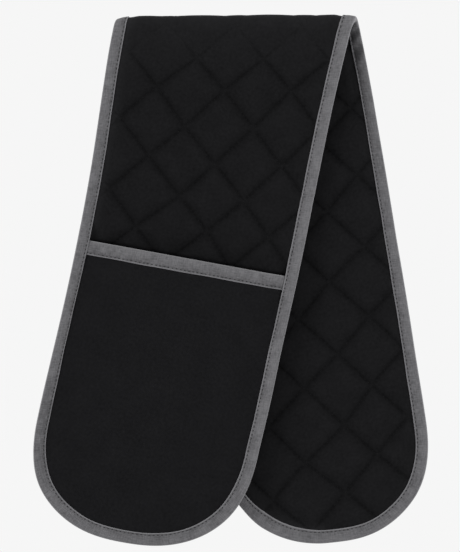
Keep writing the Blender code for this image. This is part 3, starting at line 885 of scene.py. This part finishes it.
def make_tape(name, tape, finish):
    """A binding: its section carried along its path. Its lip wanders by the hand that fed it, and
    by the square of the share to the lip."""
    inset, side, lifts = binding_section(tape.width)
    drift_seed, lift_seed = tape.seeds
    hand = tape.drift * hand_of_tape(tape.distance, drift_seed + tape.leg)[:, None]
    drift = hand * np.clip(inset / tape.width, 0, 1) ** 2
    u, v = tape.place(tape.stations[:, None], inset, drift)
    h = tape_heights(*tape.layers(u, v), side, lifts, tape.distance, lift_seed + tape.leg)
    layers = tape_layers(tape.distance, inset, side, lifts, *tape.paleness_and_shade(u, v, side, inset))
    return make_tube(name, hang(u, v, h), layers, finish)


# Stitches

def stitch_form(sides, rings):
    """One stitch of unit length and radius: points (along, aside, up) and its quads and triangles."""
    turn = 2 * np.pi * np.arange(sides) / sides
    along, size = np.array(rings).T[..., None]
    rounds = np.stack([along + 0 * turn, size * np.cos(turn), size * np.sin(turn)], -1)
    points = np.concatenate([rounds.reshape(-1, 3), [[-0.5, 0, 0], [0.5, 0, 0]]])
    numbers = np.arange(len(rings) * sides).reshape(-1, sides)
    after = np.roll(numbers, -1, axis=1)
    first, last = np.full((2, sides), [[len(points) - 2], [len(points) - 1]])
    ends = [np.stack([after[0], numbers[0], first], -1), np.stack([numbers[-1], after[-1], last], -1)]
    return points, ring_faces(numbers), np.concatenate(ends)


def make_stitches(name, rows, radius, form, finish):
    """Copies of a stitch between pairs of points: each point of the copy is
    centre + along * length + aside * radius + up * radius."""
    before, after, outward = (np.concatenate(part) for part in zip(*rows))
    points, quads, triangles = stitch_form(*form)
    along = after - before
    direction = along / np.linalg.norm(along, axis=-1, keepdims=True)
    aside = np.cross(outward, direction)
    aside /= np.linalg.norm(aside, axis=-1, keepdims=True)
    frames = np.stack([along, aside * radius, np.cross(direction, aside) * radius], axis=1)
    placed = (before + after)[:, None] / 2 + np.einsum("pk,skc->spc", points, frames)
    shift = np.arange(len(along))[:, None, None] * len(points)
    face_sets = [(faces + shift).reshape(-1, faces.shape[1]) for faces in (quads, triangles)]
    return make_piece(name, placed, face_sets, [finish])


def stitch_ends(height, side, lift, before, middle, after):
    """Ends of stitches laid on a face, and the way out from it at their middles."""
    def laid(place, out=0.0):
        u, v = place
        return hang(u, v, height(u, v) + side * lift + out)

    return laid(before), laid(after), side * (laid(middle, OUTWARD_STEP) - laid(middle))


def make_tape_stitches(name, tape, finish):
    """A row of stitches on each face of a tape, near its lip, at the middles of its stitch steps."""
    steps = np.arange(len(tape.stations))
    middles = (np.arange((len(steps) - 1) // STEPS_PER_STITCH) + 0.5) * STEPS_PER_STITCH
    half = STITCH_LENGTH / STITCH_PITCH / 2 * STEPS_PER_STITCH
    inset = tape.width - STITCH_INSET_FROM_LIP
    places = [tape.place(np.interp(middles + shift, steps, tape.stations), inset)
              for shift in (-half, 0, half)]
    rows = [stitch_ends(lambda u, v: tape.layers(u, v)[face], side, STITCH_LIFT, *places)
            for face, side in ((1, 1), (0, -1))]
    return make_stitches(name, rows, STITCH_RADIUS, TAPE_STITCH_FORM, finish)


def counts_to_place(counts):
    """Place with given line counts, and whether it was found: Newton steps on quilt_counts, whole
    arrays at once, that are kept near the strip."""
    back = np.linalg.inv(QUILTING[0][1:3].T / QUILT_UNIT)
    u = np.zeros_like(counts[0])
    v = np.zeros_like(counts[0])
    for _ in range(TRACE_STEPS):
        miss = counts - quilt_counts(u, v)
        step = TRACE_SHARE * np.tensordot(back, miss, 1)
        u = np.clip(u + step[0], -TRACE_ACROSS, TRACE_ACROSS)
        v = np.clip(v + step[1], -TRACE_ALONG, TRACE_ALONG)
    return u, v, np.abs(miss).max(axis=0) < TRACE_MISS


def on_leg(leg, u, v):
    """Whether a place is on a leg: below the fold line and inside the edge binding."""
    below = leg * pattern_point(u, v)[1] > FOLD_CLEARANCE
    return below & (edge_distance(u, v) > BAND_WIDTH)


def quilt_line_stitches(leg):
    """Ends of the quilting stitches of one leg, as four arrays of u and v.

    Each line is traced at even counts of the other set and cut into stitches by its length.
    """
    lines = np.stack(np.meshgrid(LINE_NUMBERS, LINE_PLACES, indexing="ij"))
    found = []
    for counts in (lines, lines[::-1]):
        for u, v, hit in zip(*counts_to_place(counts)):
            if hit.sum() < 2:
                continue
            path = u[hit], v[hit]
            length = path_length(*path)
            middles = np.arange(0.5, length[-1] / STITCH_PITCH) * STITCH_PITCH
            found.append([np.interp(middles + shift, length, way)
                          for shift in (-STITCH_LENGTH / 2, STITCH_LENGTH / 2) for way in path])
    stitches = np.concatenate(found, axis=1)
    return stitches[:, on_leg(leg, *stitches[:2]) & on_leg(leg, *stitches[2:])]


def make_quilt_stitches(name, leg, finish):
    """The stitches of the quilting, outside down to the pocket and inside down to the end."""
    stitches = quilt_line_stitches(leg)
    rows = []
    for height, side, reach in ((quilt_top, 1, MOUTH_BAND_END), (quilt_bottom, -1, HALF_LENGTH)):
        ends = stitches[:, np.abs(stitches[[1, 3]]).max(axis=0) < reach]
        rows.append(stitch_ends(height, side, QUILT_STITCH_LIFT, ends[:2], ends[:2], ends[2:]))
    return make_stitches(f"{name}_quilt_stitches", rows, QUILT_STITCH_RADIUS, QUILT_STITCH_FORM, finish)


# Finishes
#
# A surface has its roughness, sheen and roughness of the sheen, a noise its clouds to a metre and
# its detail, and what varies its least and its spread. The clouds of the two cottons come with
# how much they and the fuzz show. Lengths are in metres, and colours in linear light.

SPECULAR = 0.04
NOISE_ROUGHNESS = 0.55
COTTON = (0.88, 0.012, 0.45)
COTTON_ROUGHNESS = (0.84, 0.1)
COTTON_WEAVE = 0.00045
COTTON_WEAVE_SHARE = 0.3
COTTON_BUMP = 0.00006
FUZZ = (420, 4)
QUILT_CLOUDS = ((60, 3), 0.7, 1.5)
QUILT_LEVEL_SHARE = 0.5
QUILT_PAINTED_LIGHT_SHARE = 0.15
QUILT_COLOURS = ((0.0049, 0.0049, 0.0053), (0.0179, 0.0179, 0.0191))
# Painted shade in the valleys along the stitch lines, partly the dark of their thread: its colour and
# patches, how much painted light thins it, less where lines cross, and a broad and a narrow band.
CREASE_SHADE_COLOUR = (0.0004, 0.0004, 0.0005)
CREASE_BLOTCHES = (150, 3)
CREASE_PATCHES = (0.35, 1.3)
CREASE_PAINTED_LIGHT_SHARE = 0.25
CROSSING_WIDTH = 0.0024
CROSSING_SHARE = 0.55
VALLEY_WIDTH = 0.0042
VALLEY_SHADE_SHARE = 0.24
CORE_WIDTH = 0.0011
CORE_SHADE_SHARE = 0.22
CORE_DEPTH = 4
POCKET_CLOUDS = ((50, 3), 0.6, 1.4)
POCKET_COLOURS = ((0.0051, 0.0051, 0.0056), (0.0110, 0.0110, 0.0120))
LINING_COLOURS = ((0.0070, 0.0070, 0.0074), (0.0110, 0.0110, 0.0116))
TAPE = (0.82, 0.12, 0.4)
TAPE_ROUGHNESS = (0.76, 0.12)
TAPE_YARNS = (1400, 2)
TAPE_YARN_STRETCH = 0.12
TAPE_YARN_SHARE = 1.5
TAPE_CLOUDS = (90, 2)
TAPE_CLOUD_SHARE = 0.9
# How much paleness and painted light lighten the tape, towards its palest colour; then its painted shade
# colour.
TAPE_PALENESS_SHARE = 1.6
TAPE_COLOURS = ((0.0735, 0.0725, 0.0762), (0.1560, 0.1540, 0.1615))
TAPE_PALEST_COLOUR = (0.300, 0.296, 0.310)
TAPE_PALEST_SHARE = 0.5
TAPE_PALEST_START = 0.1
TAPE_SHADE_COLOUR = (0.008, 0.008, 0.0085)
TAPE_WEAVE = 0.0004
TAPE_WEAVE_SHARE = 0.5
TAPE_BUMP = 0.00007
THREAD = (0.6, 0.0, 0.5)
THREAD_STRANDS = (2600, 1)
THREAD_BUMP = 0.00004
TAPE_THREAD_COLOURS = ((0.016, 0.016, 0.017), (0.042, 0.042, 0.044))
QUILT_THREAD_COLOURS = ((0.006, 0.006, 0.006), (0.018, 0.018, 0.019))

# Which sockets of a Mix node carry its colours.
MIX_FIRST = 6
MIX_SECOND = 7
MIX_RESULT = 2


class Signal:
    """A number in a node tree; sums and products of signals add their Math nodes."""

    def __init__(self, nodes, socket):
        self.nodes = nodes
        self.socket = socket

    def math(self, operation, first, second=0.0):
        return self.nodes.node("ShaderNodeMath", {"operation": operation}, {0: first, 1: second})

    def __add__(self, other):
        return self.math("ADD", self, other)

    __radd__ = __add__

    def __sub__(self, other):
        return self.math("SUBTRACT", self, other)

    def __rsub__(self, other):
        return self.math("SUBTRACT", other, self)

    def __mul__(self, other):
        return self.math("MULTIPLY", self, other)

    __rmul__ = __mul__

    def __abs__(self):
        return self.math("ABSOLUTE", self)

    def sine(self):
        return self.math("SINE", self)

    def rounded(self):
        return self.math("ROUND", self)

    def bell(self, width):
        """e to the power of minus the square of the share of a width."""
        share = self * (1 / width)
        return self.math("POWER", math.e, share * share * -1)


class Nodes:
    """The nodes of a material or a world in the making."""

    def __init__(self, owner):
        owner.use_nodes = True
        self.tree = owner.node_tree

    def node(self, kind, settings=None, inputs=None, output=0):
        """Any node: its settings first, then the values or links of its sockets."""
        added = self.tree.nodes.new(kind)
        for key, value in (settings or {}).items():
            setattr(added, key, value)
        self.feed(added, inputs or {})
        return Signal(self, added.outputs[output])

    def feed(self, node, inputs):
        """Link signals to a node's sockets, and set the values of its other sockets."""
        for key, value in inputs.items():
            if isinstance(value, Signal):
                self.tree.links.new(value.socket, node.inputs[key])
            else:
                node.inputs[key].default_value = value

    def show(self, output, first, second, factor):
        """Put out one shader where the factor is 0 and another where it is 1."""
        both = self.node("ShaderNodeMixShader", None, {0: factor, 1: first, 2: second})
        self.feed(self.tree.nodes[output], {"Surface": both})

    def seen(self):
        """1 for what the camera sees, reflections too, and 0 for what only gives light."""
        return sum(self.node("ShaderNodeLightPath", output=f"Is {ray} Ray")
                   for ray in ("Camera", "Glossy", "Transmission"))


class Finish(Nodes):
    """A material in the making."""

    def __init__(self, name, roughness, sheen, sheen_roughness):
        self.material = bpy.data.materials.new(name)
        super().__init__(self.material)
        self.shader = self.tree.nodes["Principled BSDF"]
        self.feed(self.shader, {"Roughness": roughness, "Specular IOR Level": SPECULAR,
                                "Sheen Weight": sheen, "Sheen Roughness": sheen_roughness})

    def layer(self, name):
        """What a mesh carries in a layer: its pair of numbers as a place, and then one by one."""
        place = self.node("ShaderNodeUVMap", {"uv_map": name})
        return place, *(self.node("ShaderNodeSeparateXYZ", None, {0: place}, part) for part in (0, 1))

    def noise(self, place, scale, detail, stretch=(1, 1, 1)):
        """Cloudy variation from 0 to 1 around a half, with scale clouds to a metre."""
        stretched = self.node("ShaderNodeMapping", None, {"Vector": place, "Scale": stretch})
        return self.node("ShaderNodeTexNoise", None, {
            "Vector": stretched, "Scale": scale, "Detail": detail, "Roughness": NOISE_ROUGHNESS})

    def mix(self, factor, *colours):
        """One colour to another by a factor."""
        first, second = ((*colour, 1) if isinstance(colour, tuple) else colour for colour in colours)
        inputs = {0: factor, MIX_FIRST: first, MIX_SECOND: second}
        return self.node("ShaderNodeMix", {"data_type": "RGBA"}, inputs, MIX_RESULT)

    def end(self, colour, height, depth, **varied_inputs):
        """The finished material: its colour, its relief of a depth, and what else varies."""
        relief = self.node("ShaderNodeBump", None, {"Height": height, "Distance": depth, "Strength": 1})
        self.feed(self.shader, {"Base Color": colour, "Normal": relief, **varied_inputs})
        return self.material


def around_half(*shares):
    """A level around a half: how far each signal is from a half, times its share, added up."""
    return sum((signal - 0.5) * share for signal, share in shares) + 0.5


def near_either(gaps, width):
    """How near a line of either set is: 1 less the product of what two bells leave over."""
    return 1 - (1 - gaps[0].bell(width)) * (1 - gaps[1].bell(width))


def weave(across, along, pitch):
    """Plain weave: the product of a sine wave each way, a half wave to a yarn."""
    turn = math.pi / pitch
    return (across * turn).sine() * (along * turn).sine()


def varied(values, signal):
    """A value that varies from its least by its spread."""
    least, spread = values
    return signal * spread + least


def plain_cotton(name, clouds, cloud_share, fuzz_share):
    """Black cotton in the making: its place, its cloudy and fuzzy level, its relief and roughness."""
    finish = Finish(name, *COTTON)
    place, across, along = finish.layer("cloth")
    fuzz = finish.noise(place, *FUZZ)
    level = around_half((finish.noise(place, *clouds), cloud_share), (fuzz, fuzz_share))
    height = weave(across, along, COTTON_WEAVE) * COTTON_WEAVE_SHARE + fuzz
    return finish, place, level, height, varied(COTTON_ROUGHNESS, fuzz)


def quilted_cotton():
    """Black cotton with painted shade along its stitch lines, partly the dark of their thread, less
    where they cross, and with the painted light and shade of its layer.
    """
    finish, place, level, height, roughness = plain_cotton("black_quilted_cotton", *QUILT_CLOUDS)
    gaps = [abs(count - count.rounded()) * QUILT_SPACING for count in finish.layer("quilting")[1:]]
    strength, painted_light_and_shade = finish.layer("crease_shade")[1:]
    crossing = gaps[0].bell(CROSSING_WIDTH) * gaps[1].bell(CROSSING_WIDTH)
    core = near_either(gaps, CORE_WIDTH)
    lines = near_either(gaps, VALLEY_WIDTH) * VALLEY_SHADE_SHARE + core * CORE_SHADE_SHARE
    patchy = varied(CREASE_PATCHES, finish.noise(place, *CREASE_BLOTCHES)) * strength
    # Painted shade along the stitch lines, partly the dark of their thread, patchy and fading at the
    # fold; painted light lightens the cloth and thins it, and painted shade above the mouth darkens it.
    crease_shade = lines * (1 - crossing * CROSSING_SHARE) * patchy
    cloth = finish.mix(level * QUILT_LEVEL_SHARE + painted_light_and_shade * QUILT_PAINTED_LIGHT_SHARE, *QUILT_COLOURS)
    colour = finish.mix(crease_shade - painted_light_and_shade * CREASE_PAINTED_LIGHT_SHARE, cloth, CREASE_SHADE_COLOUR)
    return finish.end(colour, height - core * CORE_DEPTH, COTTON_BUMP, Roughness=roughness)


def pocket_cotton(name, colours):
    """Black cotton of a pocket: plain, between two colours."""
    finish, place, level, height, roughness = plain_cotton(name, *POCKET_CLOUDS)
    return finish.end(finish.mix(level, *colours), height, COTTON_BUMP, Roughness=roughness)


def binding_tape():
    """Grey cotton tape: slubby yarns each way, paler on its lip's fold, with a painted highlight
    on its rim, painted light on its outer side, and painted shade in its gathers and its corner.
    """
    finish = Finish("grey_binding_tape", *TAPE)
    place, along, around = finish.layer("cloth")
    paleness_and_painted_light, shade = finish.layer("paleness_and_shade")[1:]
    warp = finish.noise(place, *TAPE_YARNS, (TAPE_YARN_STRETCH, 1, 1))
    weft = finish.noise(place, *TAPE_YARNS, (1, TAPE_YARN_STRETCH, 1))
    clouds = finish.noise(place, *TAPE_CLOUDS)
    level = around_half((warp, TAPE_YARN_SHARE), (weft, TAPE_YARN_SHARE), (clouds, TAPE_CLOUD_SHARE))
    # Paleness and painted light lighten the tape towards its palest colour; then painted shade darkens
    # it.
    cloth = finish.mix(level + paleness_and_painted_light * TAPE_PALENESS_SHARE, *TAPE_COLOURS)
    paled = finish.mix(paleness_and_painted_light * TAPE_PALEST_SHARE - TAPE_PALEST_START, cloth, TAPE_PALEST_COLOUR)
    height = weave(along, around, TAPE_WEAVE) * TAPE_WEAVE_SHARE + warp + weft
    colour = finish.mix(shade, paled, TAPE_SHADE_COLOUR)
    return finish.end(colour, height, TAPE_BUMP, Roughness=varied(TAPE_ROUGHNESS, warp))


def thread(name, colours):
    """Sewing thread: twisted, with lighter and darker strands."""
    finish = Finish(name, *THREAD)
    place = finish.node("ShaderNodeTexCoord", output="Object")
    strands = finish.noise(place, *THREAD_STRANDS)
    return finish.end(finish.mix(strands, *colours), strands, THREAD_BUMP)


# Stage

BACKDROP = (0.9216, 0.9216, 0.9216, 1)
WHITE = (1, 1, 1, 1)
ROOM_LIGHT = 0.50
FLOOR = (0.9, 0.0, 0.5)
FLOOR_RADIUS = 3.6
FLOOR_CORNERS = 96
FLOOR_LEVEL = -0.78
FLOOR_GRAIN = (6, 2)
FLOOR_BUMP = 0.0001
FLOOR_COLOURS = ((0.74, 0.74, 0.74), (0.76, 0.76, 0.76))
FLOOR_FADE = (1.2, 2.6)
LAMP_SIZE = 1.7
LAMP_SPREAD = math.radians(120)
LAMP_AIM = (0, 0, -0.2)
LAMP_PLACE = (2.6, 2.1, 1.2)
KEY_POWER = 25.8
FILL_POWER = 27.4


def make_floor():
    """A pale round floor well below the glove, that passes into the backdrop away from it."""
    finish = Finish("pale_floor", *FLOOR)
    place = finish.node("ShaderNodeTexCoord", output="Object")
    grain = finish.noise(place, *FLOOR_GRAIN)
    material = finish.end(finish.mix(grain, *FLOOR_COLOURS), grain, FLOOR_BUMP)
    distance = finish.node("ShaderNodeVectorMath", {"operation": "LENGTH"}, {0: place}, "Value")
    away = finish.node("ShaderNodeMapRange", {"interpolation_type": "SMOOTHSTEP"}, {
        "Value": distance, "From Min": FLOOR_FADE[0], "From Max": FLOOR_FADE[1]})
    backdrop = finish.node("ShaderNodeEmission", None, {"Color": BACKDROP, "Strength": 1})
    near = Signal(finish, finish.shader.outputs["BSDF"])
    finish.show("Material Output", near, backdrop, away * finish.seen())
    turn = np.linspace(0, 2 * np.pi, FLOOR_CORNERS, endpoint=False)
    x = FLOOR_RADIUS * np.cos(turn)
    corners = np.stack([x, FLOOR_RADIUS * np.sin(turn), FLOOR_LEVEL + 0 * turn], -1)
    mesh = bpy.data.meshes.new("floor")
    mesh.from_pydata(corners.tolist(), [], [range(FLOOR_CORNERS)])
    mesh.materials.append(material)
    add_object("floor", mesh)


def make_world():
    """Soft light from all round, and the photo's pale backdrop for what the camera sees."""
    world = bpy.data.worlds.new("studio")
    bpy.context.scene.world = world
    nodes = Nodes(world)
    light = nodes.tree.nodes["Background"]
    nodes.feed(light, {"Color": WHITE, "Strength": ROOM_LIGHT})
    backdrop = nodes.node("ShaderNodeBackground", None, {"Color": BACKDROP, "Strength": 1})
    nodes.show("World Output", Signal(nodes, light.outputs["Background"]), backdrop, nodes.seen())


def make_lamp(name, place, power):
    """A soft square lamp that faces the glove, gridded so that it doesn't flood the floor below it."""
    lamp = bpy.data.lights.new(name, "AREA")
    lamp.shape = "SQUARE"
    lamp.size = LAMP_SIZE
    lamp.spread = LAMP_SPREAD
    lamp.energy = power
    item = add_object(name, lamp)
    item.location = place
    toward = Vector(LAMP_AIM) - Vector(place)
    item.rotation_euler = toward.to_track_quat("-Z", "Y").to_euler()


def make_camera():
    """The photo's viewpoint: level, in line with the middle of the frame."""
    data = bpy.data.cameras.new("camera")
    data.lens = CAMERA_LENS
    data.sensor_width = CAMERA_SENSOR_WIDTH
    data.clip_end = CAMERA_CLIP_END
    camera = add_object("camera", data)
    camera.location = (CAMERA_PLACE[0], -CAMERA_DISTANCE, CAMERA_PLACE[1])
    camera.rotation_euler = (math.pi / 2, 0, 0)
    bpy.context.scene.camera = camera


# Putting the glove together


def follow_fold(piece):
    """Bake the piece's placement into its mesh, in the model's frame."""
    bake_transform(piece)


def dress_leg(name, leg, finishes):
    """The visible pieces of one leg, with their slot, whether they run on over the fold, and the
    solids that they replace. The front leg's quilt and edge binding have the crown's as well."""
    edge = EdgeTape(leg)
    mouth = MouthTape(leg)
    cloths = [f"{name}_outer_shell", f"{name}_wadding", f"{name}_inner_shell"]
    bindings = [f"{name}_edge_binding"]
    if leg > 0:
        cloths += ["crown_outer_shell", "crown_wadding", "crown_inner_shell"]
        bindings += ["crown_binding_left", "crown_binding_right"]
    pocket_cloths = [f"{name}_pocket_shell", f"{name}_pocket_wadding", f"{name}_pocket_lining"]
    pieces = (
        (make_quilt(name, leg, finishes["quilt"]), "black_cotton", True, cloths),
        (make_tape(f"{name}_edge_tape", edge, finishes["tape"]), "grey_binding", True, bindings),
        (make_pocket(name, leg, [finishes["pocket"], finishes["lining"]]), "pocket_cotton", False,
         pocket_cloths),
        (make_tape(f"{name}_mouth_tape", mouth, finishes["tape"]), "grey_binding", False,
         [f"{name}_mouth_binding"]),
        (make_tape_stitches(f"{name}_edge_stitches", edge, finishes["tape_thread"]), "black_cotton",
         True, []),
        (make_quilt_stitches(name, leg, finishes["quilt_thread"]), "black_cotton", True, []),
        (make_tape_stitches(f"{name}_mouth_stitches", mouth, finishes["tape_thread"]), "black_cotton",
         False, []))
    for piece, slot, over_fold, nodes in pieces:
        if nodes:
            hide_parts(*nodes)
        if over_fold:
            follow_fold(piece)
        else:
            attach(piece, f"{name}_leg")


def main():
    """The glove's two legs in their finishes, and the stage round them."""
    finishes = {
        "quilt": quilted_cotton(),
        "pocket": pocket_cotton("black_pocket_cotton", POCKET_COLOURS),
        "lining": pocket_cotton("black_pocket_lining", LINING_COLOURS),
        "tape": binding_tape(),
        "tape_thread": thread("charcoal_thread", TAPE_THREAD_COLOURS),
        "quilt_thread": thread("black_thread", QUILT_THREAD_COLOURS),
    }
    for name, leg in LEGS:
        dress_leg(name, leg, finishes)
    make_floor()
    make_world()
    aside, away, up = LAMP_PLACE
    for face, turn in (("front", -1), ("back", 1)):
        make_lamp(f"{face}_key_softbox", (aside * turn, away * turn, up), KEY_POWER)
        make_lamp(f"{face}_fill_softbox", (-aside * turn, away * turn, up), FILL_POWER)
    make_camera()
    bpy.context.scene.view_settings.view_transform = "Standard"


main()
